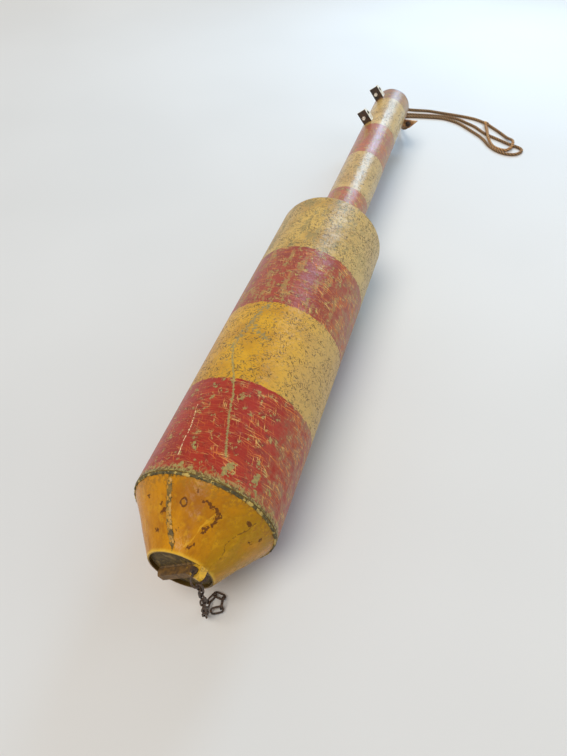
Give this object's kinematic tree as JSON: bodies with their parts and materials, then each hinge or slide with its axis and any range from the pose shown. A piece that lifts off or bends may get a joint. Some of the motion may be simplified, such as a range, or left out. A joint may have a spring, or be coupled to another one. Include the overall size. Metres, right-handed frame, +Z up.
{
  "type": "navigation_buoy",
  "caption": "Weathered red and yellow steel spar buoy lying on the floor, with coned float, tube mast, staff brackets, mooring shackle, rusty chain and a hemp rope",
  "frame": {"origin": "centre of the footprint, on the floor", "axes": "+Y along the buoy from its tail to its mast, +X to the right seen from the tail, +Z up from the floor"},
  "size_m": [0.9274, 3.2375, 0.406],
  "materials": {
    "buoy_paint": "worn",
    "bare_plate": "worn",
    "rusty_steel": "rusty",
    "bracket_steel": "worn",
    "ballast_iron": "rough",
    "hemp_rope": "matte"
  },
  "bodies": {
    "buoy": {"float_barrel": "buoy_paint", "bottom_cone": "buoy_paint", "top_cone": "buoy_paint", "ballast_block": "ballast_iron", "end_plate": "bare_plate", "mooring_plate": "bare_plate", "mast_tube": "buoy_paint", "mast_cap": "buoy_paint", "lower_bracket": "bracket_steel", "upper_bracket": "bracket_steel", "bracket_bolts": "bracket_steel", "rope_lug": "rusty_steel", "rope": "hemp_rope", "rope_knot": "hemp_rope"},
    "mooring_chain": {"shackle_bow": "rusty_steel", "shackle_pin": "rusty_steel", "hanging_chain": "rusty_steel", "heaped_chain": "rusty_steel"}
  },
  "joints": [
    {"name": "mooring_chain_swing", "type": "hinge", "parent": "buoy", "child": "mooring_chain", "pos_m": [0.0634, -1.358, 0.25811], "axis": [-0.6561, 0, 0.7547], "range_deg": [0, 45]}
  ]
}
